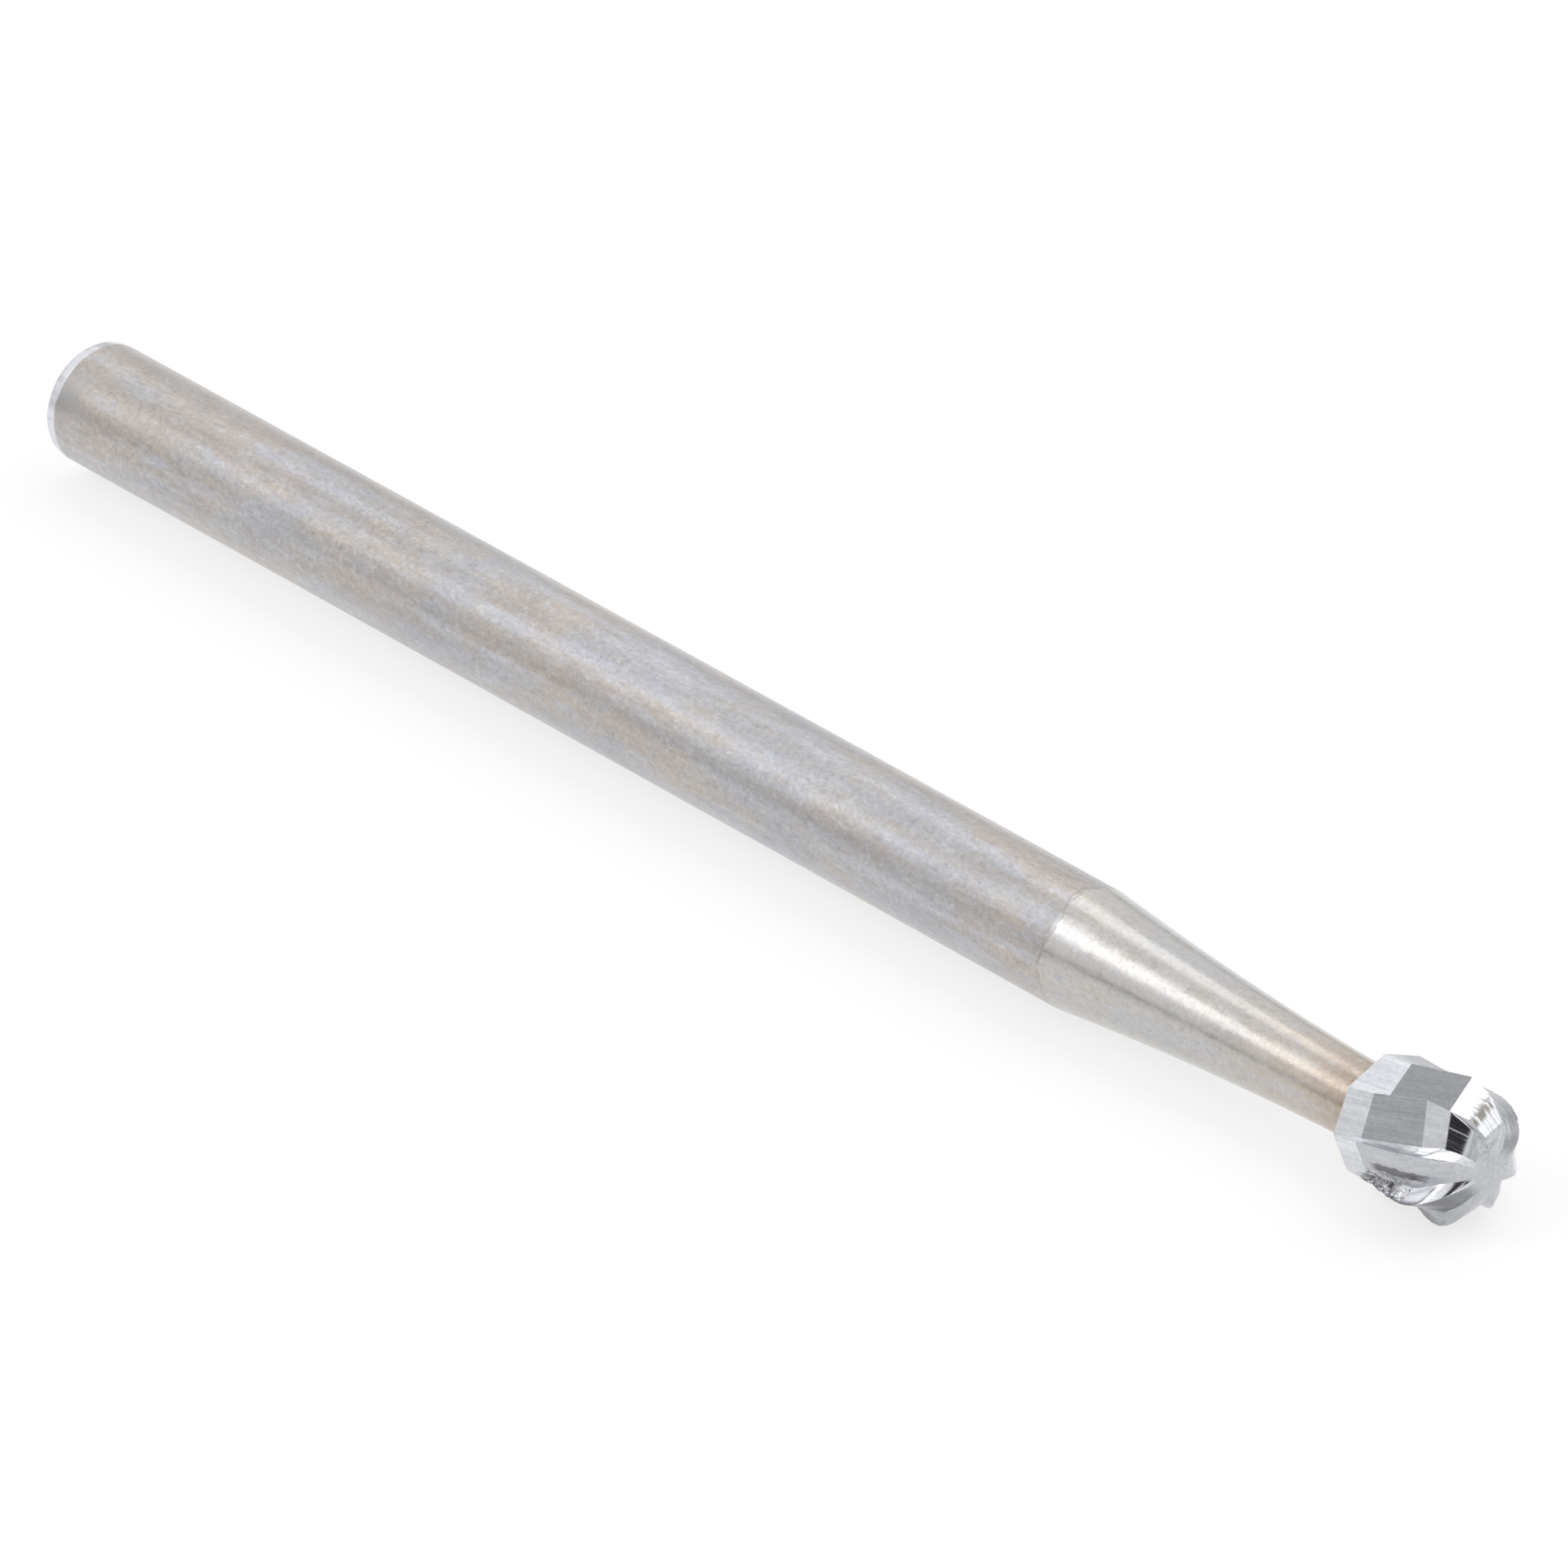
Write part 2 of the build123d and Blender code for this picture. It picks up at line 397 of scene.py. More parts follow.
def shank_profile(s):
    """(distance along X, radius, sharp) from the middle of the rear face to the middle of the front face."""
    radius, lead_radius = s.diameter / 2, s.diameter / 2 - s.lead_depth
    rear, front = SHANK_LOW[0], SHANK_HIGH[0]
    neck = rear + s.plain_length
    points = [
        (rear, 0.0, False), (rear, REAR_CENTRE * radius, False), (rear, lead_radius - s.rear_round, False),
    ]
    rise = s.lead_depth * s.rear_round / s.lead_length      # how far the lead climbs over the rounding
    for step in range(1, ROUND_STEPS + 1):
        angle = step / ROUND_STEPS * pi / 2
        points.append((
            rear + s.rear_round * (1 - cos(angle)),
            lead_radius - s.rear_round * (1 - sin(angle)) + rise * step / ROUND_STEPS,
            False,
        ))
    points.append((rear + s.lead_length, radius, True))
    points += [
        (rear + s.lead_length + (neck - rear - s.lead_length) * i / PLAIN_CELLS, radius, i == PLAIN_CELLS)
        for i in range(1, PLAIN_CELLS + 1)
    ]
    # the neck is one shallow hollow curve
    chord = front - neck
    drop = radius - s.neck_diameter / 2
    for i in range(1, NECK_CELLS + 1):
        t = i / NECK_CELLS
        hollow = 4 * s.neck_hollow * t * (1 - t)
        points.append((neck + chord * t, radius - drop * t - hollow, i == NECK_CELLS))
    points.append((front, 0.0, False))
    return points


def turned(profile):
    """A closed mesh turned round the burr's axis from a profile."""
    mesh = bmesh.new()
    rings, sharp = [], []
    for x, radius, crisp in profile:
        if radius == 0.0:
            rings.append([mesh.verts.new((x, 0.0, AXIS_HEIGHT))])
        else:
            turns = [2 * pi * i / AROUND for i in range(AROUND)]
            rings.append([
                mesh.verts.new((x, radius * sin(turn), AXIS_HEIGHT - radius * cos(turn))) for turn in turns
            ])
        sharp.append(crisp)
    for near, far in zip(rings, rings[1:]):
        for i in range(AROUND):
            j = (i + 1) % AROUND
            corners = [near[i % len(near)], near[j % len(near)], far[j % len(far)], far[i % len(far)]]
            mesh.faces.new(list(dict.fromkeys(corners))).smooth = True
    for ring, crisp in zip(rings, sharp):
        if crisp:
            for i in range(AROUND):
                mesh.edges.get((ring[i], ring[(i + 1) % AROUND])).smooth = False
    bmesh.ops.recalc_face_normals(mesh, faces=mesh.faces)
    return mesh


def placed(name, mesh, material, node):
    """Puts a finished mesh in the scene in place of its plain CAD node."""
    data = bpy.data.meshes.new(name)
    mesh.to_mesh(data)
    mesh.free()
    data.materials.append(material)
    piece = bpy.data.objects.new(name, data)
    bpy.context.scene.collection.objects.link(piece)
    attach(piece, "root")
    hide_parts(node)
    return piece


class BURR_OT_shank(bpy.types.Operator):
    """Builds the steel shank with its ground neck"""

    bl_idname = "burr.shank"
    bl_label = "Steel shank"

    def execute(self, context):
        s = context.scene.burr_shank
        neck_x = (SHANK_LOW[0] + s.plain_length) / MM
        steel = shank_steel(s, SHANK_LOW[0] / MM, neck_x, SHANK_HIGH[0] / MM)
        placed("steel_shank", turned(shank_profile(s)), steel, "shank")
        return {"FINISHED"}


# --------------------------------------------------------------------
# carbide head
# --------------------------------------------------------------------
FACET_STEPS = (26, 60, 30, 30, 44)      # rows along each facet, about a fiftieth of a millimetre apart
LAND_STEPS = 30                         # columns from the cutting edge down the land
RAKE_STEPS = 22                         # columns from the flute up to the cutting edge
LAST_FACET = len(FACET_STEPS) - 1
BEND_LIMIT = 0.45                       # a worn bend takes no more than this share of a facet
BITE_LIMIT = 0.45                       # and wear no more than this share of the rake's height
RUN_OUT = 0.72                          # how far toward the next edge a flute's foot lies at the tip
TIP_SHARE = 0.985                       # radius of the rounded tip, as a share of the cutting edge's
TINY = 1e-6                             # lengths below this are taken as none
MERGE_DISTANCE = 2e-8                   # points closer than this are one, in metres
NOISE_SEED = 1                          # fixes noise_vector, which Blender otherwise seeds from the clock

# painted reflections and shade on each facet from the heel to the tip, and on single teeth: set for the
# main view's light, and no property of the carbide
FACET_PAINTED_LIGHT = (1.40, 0.89, 1.02, 1.25, 1.05)
TOOTH_PAINTED_LIGHT = {
    4: (1.10, 0.50, 1.0, 0.96, 1.10),
    6: (1.30, 0.94, 0.95, 0.95, 0.98),
    7: (0.95, 0.50, 0.40, 0.38, 0.50),
    0: (0.90, 0.72, 0.70, 0.84, 0.98),
    3: (0.90, 0.90, 1.00, 0.84, 0.62),
}
# painted light of the back face, of the rakes of single teeth, and of the rounded tip
BACK_PAINTED_LIGHT = 0.8
RAKE_PAINTED_LIGHT = {0: 0.95, 6: 1.45, 7: 1.40}
TIP_PAINTED_LIGHT = 0.96
MERGING_TEETH = (0, 3, 7)               # teeth on which one facet's painted light runs into the next
PAINTED_LIGHT_FLUTE_TOOTH = 3                    # tooth whose land is painted lighter toward its flute, a painted reflection
# scored facets: strength at the start and the end, and where along the facet it changes; minus is haze only
SCORES = {
    (4, 2): (0.0, 0.9, 0.55, 0.98),
    (4, 3): (1.0, 0.40, 0.20, 0.60),
    (3, 1): (0.30, 0.30, 0.0, 1.0),
    (3, 2): (0.30, 0.30, 0.0, 1.0),
    (3, 3): (0.30, 0.30, 0.0, 1.0),
    (5, 3): (-0.50, -0.50, 0.0, 1.0),
}
SLANTED_FACETS = (2, 3)                 # the shoulder and the crown
SCORE_SLANT = 0.27                      # how far the marks lean across on them
# length over which each bend is worn round, in millimetres, on sharp teeth and on single worn ones
SHARP_BENDS = (0.008, 0.008, 0.01, 0.03)
WORN_BENDS = {
    5: (0.008, 0.008, 0.02, 0.20),
    6: (0.02, 0.34, 0.24, 0.24),
    7: (0.10, 0.36, 0.36, 0.34),
    0: (0.10, 0.40, 0.34, 0.30),
    1: (0.08, 0.20, 0.20, 0.16),
    2: (0.08, 0.20, 0.20, 0.16),
    3: (0.08, 0.34, 0.34, 0.24),
}
HEEL_SLIPS = {4: 0.25, 5: 0.06}         # how far single heel facets run on in the flute, in millimetres
RAKE_HOLLOW = (0.13, 0.13, 0.13, 0.02, 0.0)     # hollow of the rake face at each facet, over its height
UNDERCUT = {6: 0.075, 1: 0.10, 0: 0.03}         # flutes cut deeper from the shoulder on, in millimetres

# broken stretches of the cutting edges: tooth, start and end along the edge, deepest bite (mm), lumps per mm
BROKEN_EDGES = (
    (3, 1.50, 2.60, 0.026, 14.0),
    (0, 1.10, 2.50, 0.022, 15.0),
    (1, 1.30, 2.60, 0.020, 12.0),
    (4, 2.05, 2.50, 0.016, 14.0),
    (5, 0.50, 1.95, 0.012, 9.0),
    (6, 1.65, 2.05, 0.045, 7.0),
)
# torn patches: tooth, start and end along, start and end across, depth, lumps per millimetre; lengths are in
# millimetres, and across is counted from the cutting edge, minus up the rake
TORN_PATCHES = (
    (7, 0.20, 1.80, -0.60, 0.10, 0.062, 6.0),
    (6, 0.50, 1.35, 0.66, 0.95, 0.040, 5.0),
)
# dark residue and painted shade in flutes: tooth, start and end along, start and end across, strength
RESIDUE_AND_SHADE = (
    (6, 0.05, 1.70, -0.70, -0.10, 0.34),
    (6, 0.72, 2.15, 0.43, 0.66, 0.97),
    (6, 1.60, 2.30, 0.44, 0.57, 0.75),
    (7, 0.40, 1.45, -0.60, -0.12, 0.80),
    (7, 0.30, 1.20, -0.20, 0.12, 0.70),
    (0, 0.90, 2.30, -0.13, 0.05, 0.35),
)


def tooth_corners(s):
    """Corners of every tooth in millimetres: cutting edge points, flute points and the tip."""
    head_x, axis_z = HEAD_LOW[0] / MM, AXIS_HEIGHT / MM
    lengths = [v / MM for v in s.facet_lengths]
    edge_at = list(accumulate([0.0] + lengths[:-1]))
    edge_r = [d / MM / 2 for d in s.bend_diameters]
    wound = list(accumulate([0.0] + list(s.winds)))
    edge_turn = [wound[2] - w for w in wound]
    skews = [0.0] + [v / MM for v in s.flute_skews]
    flutes = [0.0] + list(s.flutes)
    pitch = 2 * pi / s.teeth

    def on_head(along, radius, turn):
        return Vector((head_x + along, radius * sin(turn), axis_z - radius * cos(turn)))

    tip = on_head(sum(lengths), 0.0, 0.0)
    teeth = []
    for tooth in range(s.teeth):
        start = (tooth - 0.5) * pitch
        edge = [on_head(a, r, start + t) for a, r, t in zip(edge_at, edge_r, edge_turn)]
        root = [on_head(0.0, edge_r[0], start + pitch + edge_turn[0])]
        for bend in range(1, 5):
            along = edge_at[bend] + skews[bend] + (HEEL_SLIPS.get(tooth, 0.0) if bend == 1 else 0.0)
            turn = start + pitch + edge_turn[bend] - flutes[bend]
            # the radius at which this corner lies in the plane of its facet
            normal = (edge[bend - 1] - root[-1]).cross(edge[bend] - root[-1])
            centre = on_head(along, 0.0, turn)
            radius = normal.dot(root[-1] - centre) / normal.dot(on_head(along, 1.0, turn) - centre)
            root.append(on_head(along, radius, turn))
        teeth.append((edge + [tip], root + [tip]))
    return teeth


def along_line(points, bends, facet, t):
    """Point of a bent line at t along one of its facets, with the bends worn round over the given lengths."""
    span = (points[facet + 1] - points[facet]).length
    if facet < LAST_FACET:
        reach = min(BEND_LIMIT, bends[facet] / max(span, TINY))
        if t > 1.0 - reach:
            next_span = (points[facet + 2] - points[facet + 1]).length
            after = min(BEND_LIMIT, bends[facet] / max(next_span, TINY))
            u = (t - (1.0 - reach)) / (2 * reach)
            a = points[facet + 1].lerp(points[facet], reach)
            c = points[facet + 1].lerp(points[facet + 2], after)
            return (1 - u) ** 2 * a + 2 * u * (1 - u) * points[facet + 1] + u * u * c
    if facet > 0:
        reach = min(BEND_LIMIT, bends[facet - 1] / max(span, TINY))
        if t < reach:
            last_span = (points[facet] - points[facet - 1]).length
            before = min(BEND_LIMIT, bends[facet - 1] / max(last_span, TINY))
            u = 0.5 + t / (2 * reach)
            a = points[facet].lerp(points[facet - 1], before)
            c = points[facet].lerp(points[facet + 1], reach)
            return (1 - u) ** 2 * a + 2 * u * (1 - u) * points[facet] + u * u * c
    return points[facet].lerp(points[facet + 1], t)


def step_up(value, low, high):
    """0 below low, 1 above high, smooth between."""
    x = min(1.0, max(0.0, (value - low) / (high - low)))
    return x * x * (3 - 2 * x)


def inside(value, low, high, soft):
    """1 between low and high, fading to 0 over soft inside each end."""
    return step_up(value, low, low + soft) * step_up(-value, -high, -high + soft)


def edge_wear(tooth, at, wear):
    """How much is gone from a cutting edge at a distance along it, in millimetres."""
    depth = wear + 0.010 * max(0.0, noise.noise(Vector((at * 19.0, tooth * 5.1, 9.5))) - 0.25)
    for which, start, end, bite, coarse in BROKEN_EDGES:
        if which == tooth and start < at < end:
            lump = noise.noise(Vector((at * coarse, tooth + 0.3, 2.5))) + 0.5 * noise.noise(
                Vector((at * coarse * 3.1, tooth + 0.7, 7.5)))
            depth += bite * inside(at, start, end, 0.15) * max(0.0, 0.40 + lump)
    return depth


def torn_depth(tooth, at, across, point):
    """Depth of the torn patches at a place on a tooth, in millimetres: blocky lumps with gaps between."""
    depth = 0.0
    for which, start, end, low, high, deepest, coarse in TORN_PATCHES:
        if which == tooth and start < at < end and low < across < high:
            warped = point + 0.10 * noise.noise_vector(point * 3.0)
            cells = noise.cell(warped * coarse + Vector((0.3, 0.1, 0.7)))
            fine_cells = noise.cell(warped * coarse * 2.3 + Vector((4.3, 2.1, 5.7)))
            ragged = 0.5 + 0.8 * noise.noise(point * 9.0)
            mask = inside(at, start, end, 0.12) * inside(across, low, high, 0.06)
            mask *= step_up(mask + 0.6 * noise.noise(point * 6.0), 0.25, 0.65)
            depth += deepest * mask * (0.50 * cells + 0.18 * fine_cells + 0.50 * ragged)
    return depth


def residue_and_shade(tooth, at, across, point):
    """How much dark residue and painted shade lies at a place on a tooth, from 0 to 1."""
    most = 0.0
    for which, start, end, low, high, strength in RESIDUE_AND_SHADE:
        if which == tooth:
            ragged = 0.05 * noise.noise(Vector((at * 5.0, across * 16.0, tooth)))
            patch = inside(at, start, end, 0.25) * inside(across + ragged, low, high, 0.04)
            most = max(most, strength * patch)
    return most


def from_axis(point):
    """Unit vector straight out from the burr's axis to a point in millimetres."""
    return (point - Vector((point.x, 0.0, AXIS_HEIGHT / MM))).normalized()


def head_mesh(s):
    """The toothed head as one closed mesh, with what the material needs to know at each place."""
    noise.seed_set(NOISE_SEED)
    teeth = tooth_corners(s)
    mesh = bmesh.new()
    grind = mesh.loops.layers.float_vector.new("grind")
    marks = mesh.loops.layers.float_vector.new("marks")
    chip = mesh.verts.layers.float.new("chip")
    painted_light, rake_flag = (mesh.faces.layers.float.new(name) for name in ("painted_light", "rake"))
    land_at = [(j / LAND_STEPS) ** 1.5 for j in range(LAND_STEPS + 1)]
    rake_at = [1.0 - (1.0 - j / RAKE_STEPS) ** 1.3 for j in range(RAKE_STEPS + 1)]
    across_count = RAKE_STEPS + LAND_STEPS
    axis_z = AXIS_HEIGHT / MM
    rims = []
    for tooth in range(s.teeth):
        before, after = (tooth - 1) % s.teeth, (tooth + 1) % s.teeth
        edge, root = teeth[tooth]
        root_before, edge_before, edge_after = teeth[before][1], teeth[before][0], teeth[after][0]
        bends, bends_before, bends_after = (WORN_BENDS.get(k, SHARP_BENDS) for k in (tooth, before, after))
        # the dark residue and painted shade at each point are kept with the rows
        rows, places, dirt_and_shade, at = [], [], [], 0.0
        for facet, steps in enumerate(FACET_STEPS):
            span = (edge[facet + 1] - edge[facet]).length
            for step in range(0 if facet == 0 else 1, steps + 1):
                t = step / steps
                top = along_line(edge, bends, facet, t)
                foot = along_line(root, bends, facet, t)
                foot_before = along_line(root_before, bends_before, facet, t)
                out = step_up(t, 0.15, 0.75) if facet == LAST_FACET else 0.0
                if out > 0:
                    # the flutes run out before the tip
                    top_after = along_line(edge_after, bends_after, facet, t)
                    top_before = along_line(edge_before, bends_before, facet, t)
                    foot = foot.lerp(top.lerp(top_after, RUN_OUT), out)
                    foot_before = foot_before.lerp(top_before.lerp(top, RUN_OUT), out)
                tip_radius = Vector((0.0, top.y, top.z - axis_z)).length
                here = at + t * span
                rise, width = (top - foot_before).length, (top - foot).length
                ahead = (edge[facet + 1] - edge[facet]).normalized()
                away = top - Vector((top.x - 0.55 * step_up(here, 1.6, 2.6), 0.0, axis_z))
                land_normal = (foot - top).cross(ahead)
                land_normal = land_normal.normalized() if width > TINY else away.normalized()
                land_normal = -land_normal if land_normal.dot(away) < 0 else land_normal
                rake_normal = (top - foot_before).cross(ahead)
                rake_normal = rake_normal.normalized() if rise > TINY else land_normal
                rake_normal = -rake_normal if rake_normal.dot(foot - top) > 0 else rake_normal
                outward = (land_normal + rake_normal).normalized()
                fade = min(1.0, here / 0.05, rise / 0.10)
                worn = edge_wear(tooth, here, s.edge_wear / MM)
                next_hollow = RAKE_HOLLOW[min(facet + 1, LAST_FACET)]
                hollow = RAKE_HOLLOW[facet] + (next_hollow - RAKE_HOLLOW[facet]) * step_up(t, 0.6, 1)
                deeper = step_up(here, 1.75, 2.15) * (1.0 - out)
                cut, cut_before = (UNDERCUT.get(k, 0.0) * deeper for k in (tooth, before))
                row, soil_and_shade = [], []
                for j in range(across_count + 1):
                    if j <= RAKE_STEPS:
                        w = rake_at[j]
                        across = -(1.0 - w) * rise
                        point = foot_before.lerp(top, w) - rake_normal * (hollow * rise * 4 * w * (1 - w))
                        point -= from_axis(point) * (cut_before * (1.0 - w) ** 2)
                        normal = rake_normal
                    else:
                        w = land_at[j - RAKE_STEPS]
                        across = w * width
                        point = top.lerp(foot, w)
                        point -= from_axis(point) * (cut * step_up(w, 0.45, 1.0))
                        normal = land_normal
                    if out > 0 and tip_radius > TINY:
                        # round off the very tip
                        axis_point = Vector((point.x, 0.0, axis_z))
                        spoke = point - axis_point
                        if spoke.length > TINY:
                            reach = spoke.length + (tip_radius * TIP_SHARE - spoke.length) * out
                            point = axis_point + spoke.normalized() * reach
                    rough = noise.fractal(point * 22.0 + Vector((tooth, 0, 0)), 1.0, 2.0, 3)
                    depth = min(worn * (1.0 + 0.55 * rough), BITE_LIMIT * rise) * fade
                    over = max(0.0, (point - top).dot(outward) + depth)
                    torn = torn_depth(tooth, here, across, point) * fade
                    if j in (0, across_count):
                        torn = 0.0
                    placed_at = point - outward * over - (normal * 0.45 + outward * 0.55) * torn
                    vert = mesh.verts.new(placed_at * MM)
                    bitten = step_up(depth, 0.010, 0.022) if over > 0.0 else 0.0
                    vert[chip] = max(bitten, step_up(torn, 0.012, 0.035))
                    row.append(vert)
                    soil_and_shade.append(residue_and_shade(tooth, here, across, point))
                rows.append(row)
                dirt_and_shade.append(soil_and_shade)
                places.append((here, facet, t if step else 0.0, out))
            at += span
        rims.append(rows[0][RAKE_STEPS:])
        # this tooth's painted light and shade, facet by facet
        painted_levels = TOOTH_PAINTED_LIGHT.get(tooth, FACET_PAINTED_LIGHT)
        for i in range(len(rows) - 1):
            facet = places[i + 1][1]
            for j in range(across_count):
                face = mesh.faces.new((rows[i][j], rows[i + 1][j], rows[i + 1][j + 1], rows[i][j + 1]))
                on_rake = j < RAKE_STEPS
                t, out = places[i + 1][2:]
                # each face's painted light: running into the next facet's on some teeth, the rakes' own, and
                # even toward the tip
                following = painted_levels[min(facet + 1, LAST_FACET)]
                merging = step_up(t, 0.55, 1.0) * (tooth in MERGING_TEETH)
                shade = painted_levels[facet] + (following - painted_levels[facet]) * merging
                shade = RAKE_PAINTED_LIGHT.get(tooth, 1.0) if on_rake else shade
                # painted reflection: this tooth's land lighter toward its flute
                if tooth == PAINTED_LIGHT_FLUTE_TOOTH and facet < LAST_FACET:
                    shade *= 1.0 + 0.35 * step_up(j - RAKE_STEPS, LAND_STEPS * 0.55, LAND_STEPS * 0.85)
                shade += (TIP_PAINTED_LIGHT - shade) * out
                face[painted_light] = shade
                face[rake_flag] = 1.0 if on_rake else 0.0
                first, last, low, high = SCORES.get(() if on_rake else (tooth, facet), (0.0, 0.0, 0.0, 1.0))
                slant = SCORE_SLANT if facet in SLANTED_FACETS and not on_rake else 0.0
                for loop, (di, dj) in zip(face.loops, ((0, 0), (1, 0), (1, 1), (0, 1))):
                    across = (rows[i + di][j + dj].co - rows[i + di][RAKE_STEPS].co).length / MM
                    here, row_facet, t, out = places[i + di]
                    t = t if row_facet == facet else 0.0
                    lean = across + slant * here
                    loop[grind] = (here + tooth * 5.3, lean + facet * 2.7, tooth * 1.9 + facet * 0.7)
                    # marks: dark residue and painted shade, score strength, and how far into the tip
                    loop[marks] = (dirt_and_shade[i + di][j + dj], first + (last - first) * step_up(t, low, high), out)
    back = mesh.faces.new([vert for rim in rims for vert in rim[:-1]])
    # painted light of the back face
    back[painted_light] = BACK_PAINTED_LIGHT
    bmesh.ops.remove_doubles(mesh, verts=mesh.verts, dist=MERGE_DISTANCE)
    bmesh.ops.dissolve_degenerate(mesh, edges=mesh.edges, dist=MERGE_DISTANCE / 2)
    bmesh.ops.recalc_face_normals(mesh, faces=mesh.faces)
    return mesh


class BURR_OT_carbide_head(bpy.types.Operator):
    """Builds the spiral-toothed carbide head"""

    bl_idname = "burr.carbide_head"
    bl_label = "Carbide head"

    def execute(self, context):
        s = context.scene.burr_head
        placed("toothed_head", head_mesh(s), head_carbide(s), "carbide_head")
        return {"FINISHED"}


# --------------------------------------------------------------------
# studio: floor, lamps and camera
# --------------------------------------------------------------------
SIGHT = Vector((0.6607, -0.5444, 0.5168)).normalized()     # from the burr to the camera
CAMERA_DISTANCE = 0.41819
CAMERA_DOWN = Vector((0, -0.6884, -0.7252))                # downward in the view, before the camera is rolled
CAMERA_ROLL = radians(28.97)
CAMERA_CENTRE = Vector((0.00036, 0, AXIS_HEIGHT))          # what the middle of the view lies on
CAMERA_DROP = 0.0000465                                    # and how far below it the view is centred
LENS, SENSOR = 539.6, 36.0                                 # focal length and sensor width, in millimetres
HORIZON_LEVEL = 0.58                                       # brightness of the dim band over the floor
HORIZON_BAND = (0.0, 0.03, 0.11, 0.22)                     # heights where it dims and brightens again
ROOM_LIGHT = 0.60                                          # brightness of the surroundings as light
FLOOR_SIZE = 3.0
FLOOR_MATT = 0.82                                          # the floor's grey as light from it
FLOOR_SHOWN = 0.34                                         # its grey to the camera and in the metal
FLOOR_GLOW = 0.71                                          # and the even light that is added to that
CARD_SIZE, CARD_DISTANCE = 0.17, 0.20
CARD_GREY = (0.035, 0.035, 0.037, 1.0)
LAMP_TARGET = Vector((0.012, 0.0, AXIS_HEIGHT))
CARD_TARGET = Vector((0.018, 0.0, AXIS_HEIGHT))
# lamps: name, azimuth, elevation, distance, width, length, brightness
LAMPS = (
    ("left_bar", 229.4, 42.7, 0.35, 0.120, 0.124, 0.93),
    ("right_bar", 148.5, 55.5, 0.35, 0.125, 0.135, 0.72),
    ("overhead", 60, 62, 0.40, 0.34, 0.36, 1.1),
    ("small_left", 239, 53, 0.35, 0.18, 0.11, 1.9),
)


def direction(azimuth, elevation):
    """Unit vector; azimuth in degrees from +X towards +Y."""
    a, e = radians(azimuth), radians(elevation)
    return Vector((cos(a) * cos(e), sin(a) * cos(e), sin(e)))


def facing(target, away, distance):
    """Matrix of a lamp or card at a distance from the target, looking at it, its Y side along the burr."""
    z = away.normalized()
    x = Vector((1.0, 0.0, 0.0)).cross(z).normalized()
    turn = Matrix((x, z.cross(x), z)).transposed()
    return Matrix.Translation(target + z * distance) @ turn.to_4x4()


def softbox(name, azimuth, elevation, distance, wide, long, brightness):
    """A rectangular lamp of that brightness, where 1 is white."""
    lamp = bpy.data.lights.new(name, "AREA")
    lamp.shape, lamp.size, lamp.size_y = "RECTANGLE", wide, long
    lamp.energy = brightness * pi * wide * long
    box = bpy.data.objects.new(name, lamp)
    bpy.context.scene.collection.objects.link(box)
    box.matrix_world = facing(LAMP_TARGET, direction(azimuth, elevation), distance)


def sheet(name, size, material, cells=8):
    """A flat square mesh for the floor or a card."""
    mesh = bmesh.new()
    bmesh.ops.create_grid(mesh, x_segments=cells, y_segments=cells, size=size / 2)
    data = bpy.data.meshes.new(name)
    mesh.to_mesh(data)
    mesh.free()
    data.materials.append(material)
    made = bpy.data.objects.new(name, data)
    bpy.context.scene.collection.objects.link(made)
    return made


def pale_floor():
    """Matt white floor that looks white to the camera and in the metal, and still takes the shadow."""
    f = Finish("pale_floor")
    matt = f.node("BsdfDiffuse")
    matt.inputs["Color"].default_value = (FLOOR_MATT, FLOOR_MATT, FLOOR_MATT, 1.0)
    shown = f.node("BsdfDiffuse")
    shown.inputs["Color"].default_value = (FLOOR_SHOWN, FLOOR_SHOWN, FLOOR_SHOWN, 1.0)
    white = f.node("Emission")
    white.inputs["Color"].default_value = (1.0, 1.0, 1.0, 1.0)
    white.inputs["Strength"].default_value = FLOOR_GLOW
    both = f.node("AddShader")
    f.feed(both.inputs[0], shown.outputs[0])
    f.feed(both.inputs[1], white.outputs[0])
    path = f.node("LightPath")
    seen = f.sum("MAXIMUM", path.outputs["Is Camera Ray"], path.outputs["Is Glossy Ray"])
    seen = f.sum("MAXIMUM", seen, path.outputs["Is Transmission Ray"])
    pick = f.node("MixShader")
    f.feed(pick.inputs[0], seen)
    f.feed(pick.inputs[1], matt.outputs[0])
    f.feed(pick.inputs[2], both.outputs[0])
    f.feed(f.output.inputs["Surface"], pick.outputs[0])
    return f.material


def dark_card():
    """Dark grey card, lit by the room only."""
    f = Finish("dark_card")
    matt = f.node("BsdfDiffuse")
    matt.inputs["Color"].default_value = CARD_GREY
    f.feed(f.output.inputs["Surface"], matt.outputs[0])
    return f.material


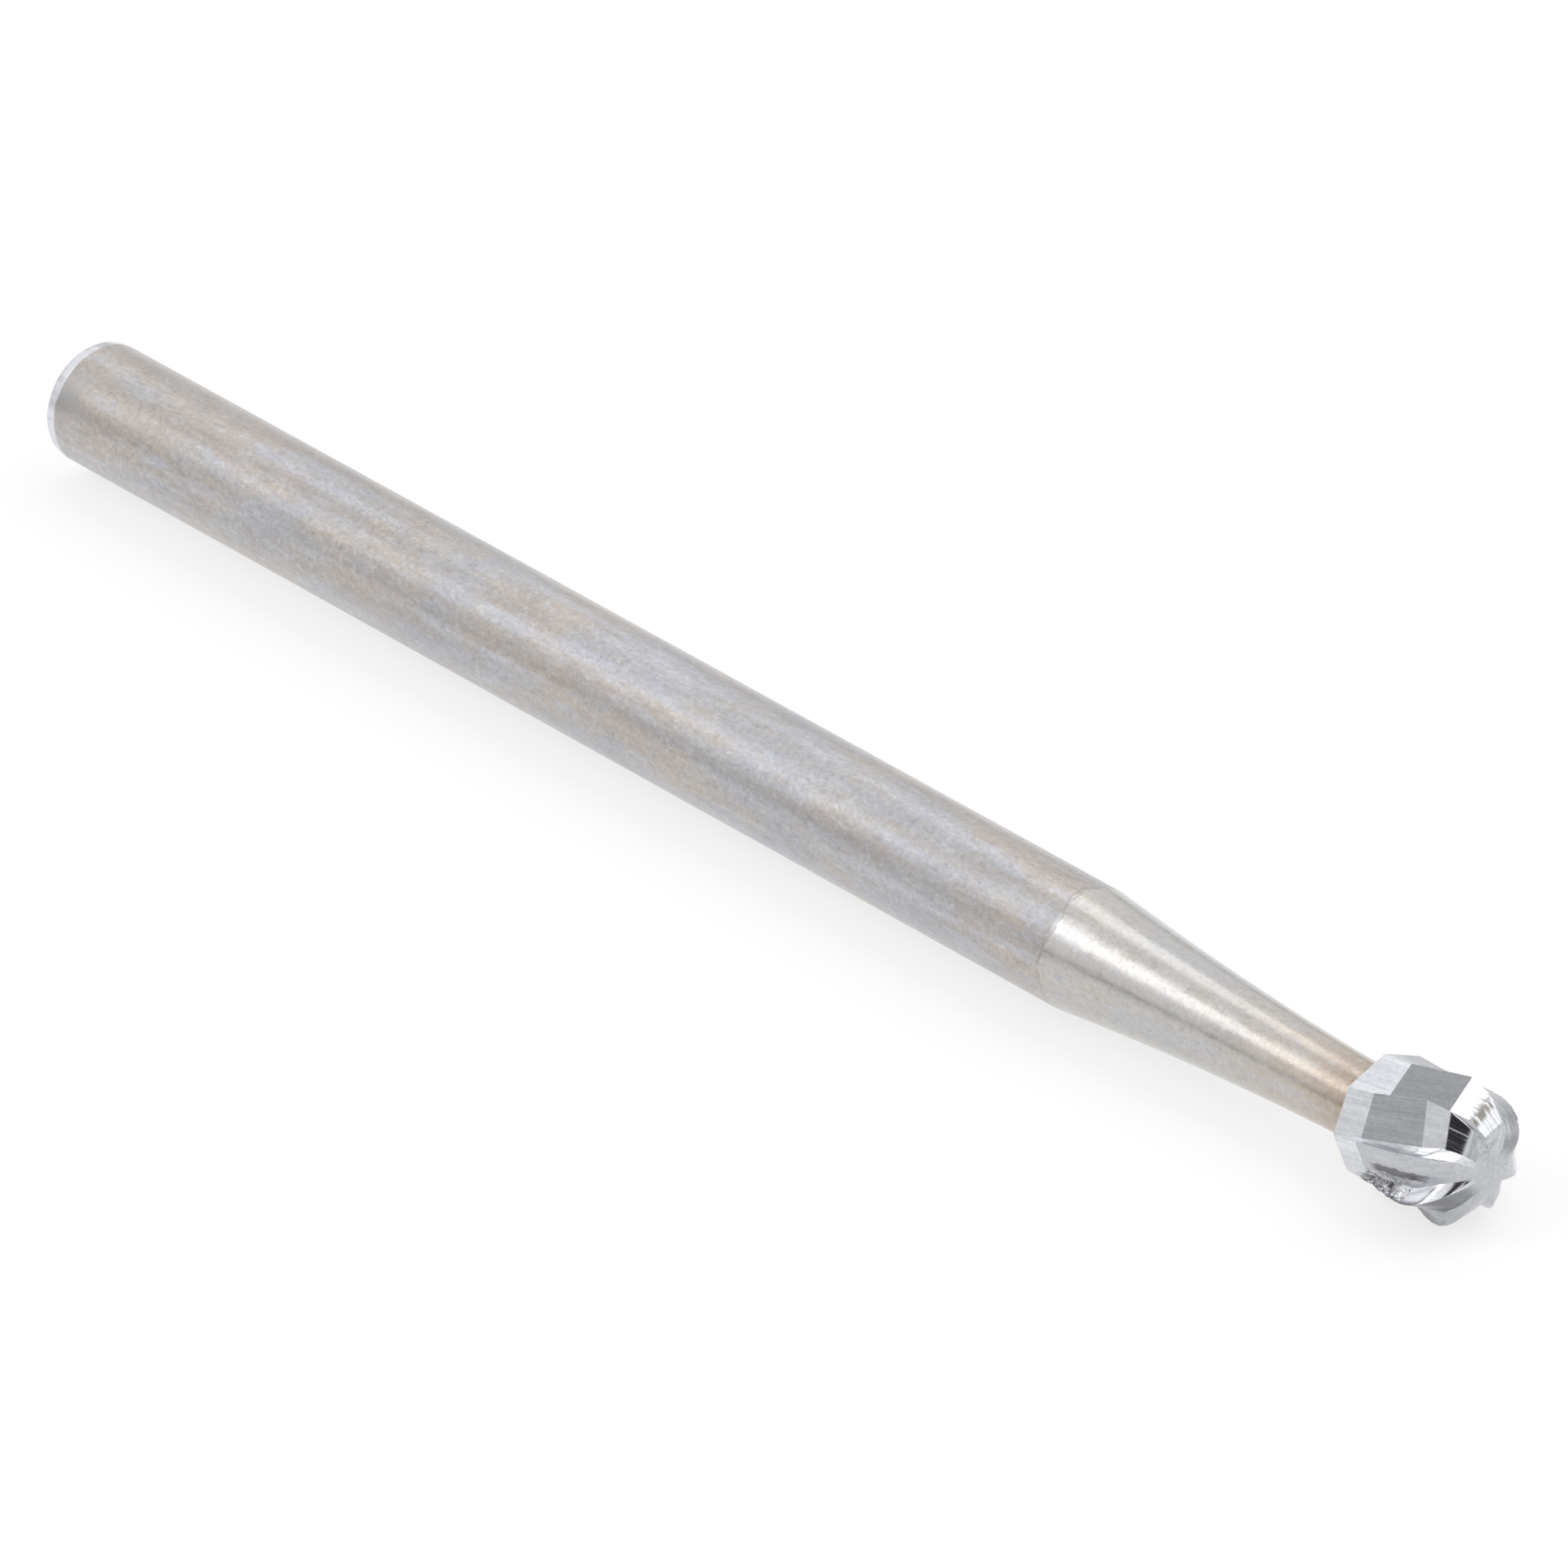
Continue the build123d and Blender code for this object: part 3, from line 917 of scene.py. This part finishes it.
def studio_world():
    """White to the camera, with a dim band over the floor in reflections, and dimmer as light."""
    world = bpy.data.worlds.new("studio")
    bpy.context.scene.world = world
    world.use_nodes = True
    tree = world.node_tree
    back = tree.nodes["Background"]
    back.inputs["Color"].default_value = (1.0, 1.0, 1.0, 1.0)

    def mapped(value, low, high, to_low, to_high):
        """A smooth change from one range to another."""
        made = tree.nodes.new("ShaderNodeMapRange")
        made.interpolation_type = "SMOOTHSTEP"
        tree.links.new(value, made.inputs["Value"])
        for socket, number in zip(("From Min", "From Max", "To Min", "To Max"), (low, high, to_low, to_high)):
            made.inputs[socket].default_value = number
        return made.outputs[0]

    def step(operation, a, b):
        """One sum on sockets or numbers."""
        made = tree.nodes.new("ShaderNodeMath")
        made.operation = operation
        for socket, value in zip(made.inputs, (a, b)):
            if isinstance(value, bpy.types.NodeSocket):
                tree.links.new(value, socket)
            else:
                socket.default_value = value
        return made.outputs[0]

    place = tree.nodes.new("ShaderNodeTexCoord")
    split = tree.nodes.new("ShaderNodeSeparateXYZ")
    tree.links.new(place.outputs["Generated"], split.inputs[0])
    height = split.outputs["Z"]
    floor_line, dim_from, dim_to, clear = HORIZON_BAND
    band = step("MAXIMUM", mapped(height, floor_line, dim_from, 1.0, HORIZON_LEVEL), HORIZON_LEVEL)
    band = step("MAXIMUM", band, mapped(height, dim_to, clear, HORIZON_LEVEL, 1.0))
    path = tree.nodes.new("ShaderNodeLightPath")
    reflected = step("MULTIPLY", path.outputs["Is Glossy Ray"], band)
    others = step("MULTIPLY", step("SUBTRACT", 1.0, path.outputs["Is Glossy Ray"]), ROOM_LIGHT)
    level = step("ADD", reflected, others)
    level = step("MAXIMUM", level, path.outputs["Is Camera Ray"])
    tree.links.new(level, back.inputs["Strength"])


def aimed_camera():
    """The camera, a long lens looking down on the tip end of the burr, rolled a little."""
    off_axis = asin(sqrt(1 - SIGHT.x ** 2))
    cos_off = cos(off_axis) if SIGHT.x > 0 else -cos(off_axis)
    # the burr's axis as the camera sees it
    across = (Vector((1, 0, 0)) - SIGHT * cos_off) / sin(off_axis)
    right = cos(CAMERA_ROLL) * across - sin(CAMERA_ROLL) * CAMERA_DOWN
    below = sin(CAMERA_ROLL) * across + cos(CAMERA_ROLL) * CAMERA_DOWN
    centre = CAMERA_CENTRE + CAMERA_DOWN * CAMERA_DROP
    lens = bpy.data.cameras.new("camera")
    lens.lens, lens.sensor_width, lens.sensor_fit = LENS, SENSOR, "HORIZONTAL"
    lens.clip_start, lens.clip_end = 0.01, 20.0
    camera = bpy.data.objects.new("camera", lens)
    bpy.context.scene.collection.objects.link(camera)
    turn = Matrix((right, -below, SIGHT)).transposed()
    camera.matrix_world = Matrix.Translation(centre + SIGHT * CAMERA_DISTANCE) @ turn.to_4x4()
    bpy.context.scene.camera = camera


class BURR_OT_studio(bpy.types.Operator):
    """Sets up the pale floor, the soft lamps and the camera"""

    bl_idname = "burr.studio"
    bl_label = "Studio"

    def execute(self, context):
        sheet("floor", FLOOR_SIZE, pale_floor())
        studio_world()
        for lamp in LAMPS:
            softbox(*lamp)
        card = sheet("dark_card", CARD_SIZE, dark_card(), cells=1)
        card.matrix_world = facing(CARD_TARGET, SIGHT, CARD_DISTANCE)
        card.visible_camera = card.visible_diffuse = card.visible_shadow = card.visible_transmission = False
        aimed_camera()
        context.scene.view_settings.view_transform = "Standard"
        return {"FINISHED"}


# --------------------------------------------------------------------
# panel and registration
# --------------------------------------------------------------------
class BURR_PT_sidebar(bpy.types.Panel):
    """Lists the burr's settings and the operators that build it"""

    bl_idname = "BURR_PT_sidebar"
    bl_label = "Carbide burr"
    bl_space_type = "VIEW_3D"
    bl_region_type = "UI"
    bl_category = "Burr"

    def draw(self, context):
        for settings, operator in (
            (context.scene.burr_shank, BURR_OT_shank), (context.scene.burr_head, BURR_OT_carbide_head),
        ):
            box = self.layout.box()
            for name in settings.__annotations__:
                box.prop(settings, name)
            box.operator(operator.bl_idname)
        self.layout.operator(BURR_OT_studio.bl_idname)


CLASSES = (
    BurrShankSettings, BurrHeadSettings, BURR_OT_shank, BURR_OT_carbide_head, BURR_OT_studio, BURR_PT_sidebar,
)


def register():
    for item in CLASSES:
        bpy.utils.register_class(item)
    bpy.types.Scene.burr_shank = PointerProperty(type=BurrShankSettings)
    bpy.types.Scene.burr_head = PointerProperty(type=BurrHeadSettings)


def unregister():
    del bpy.types.Scene.burr_head
    del bpy.types.Scene.burr_shank
    for item in reversed(CLASSES):
        bpy.utils.unregister_class(item)


def main():
    register()
    bpy.ops.burr.studio()
    bpy.ops.burr.shank()
    bpy.ops.burr.carbide_head()


if __name__ == "__main__":
    main()
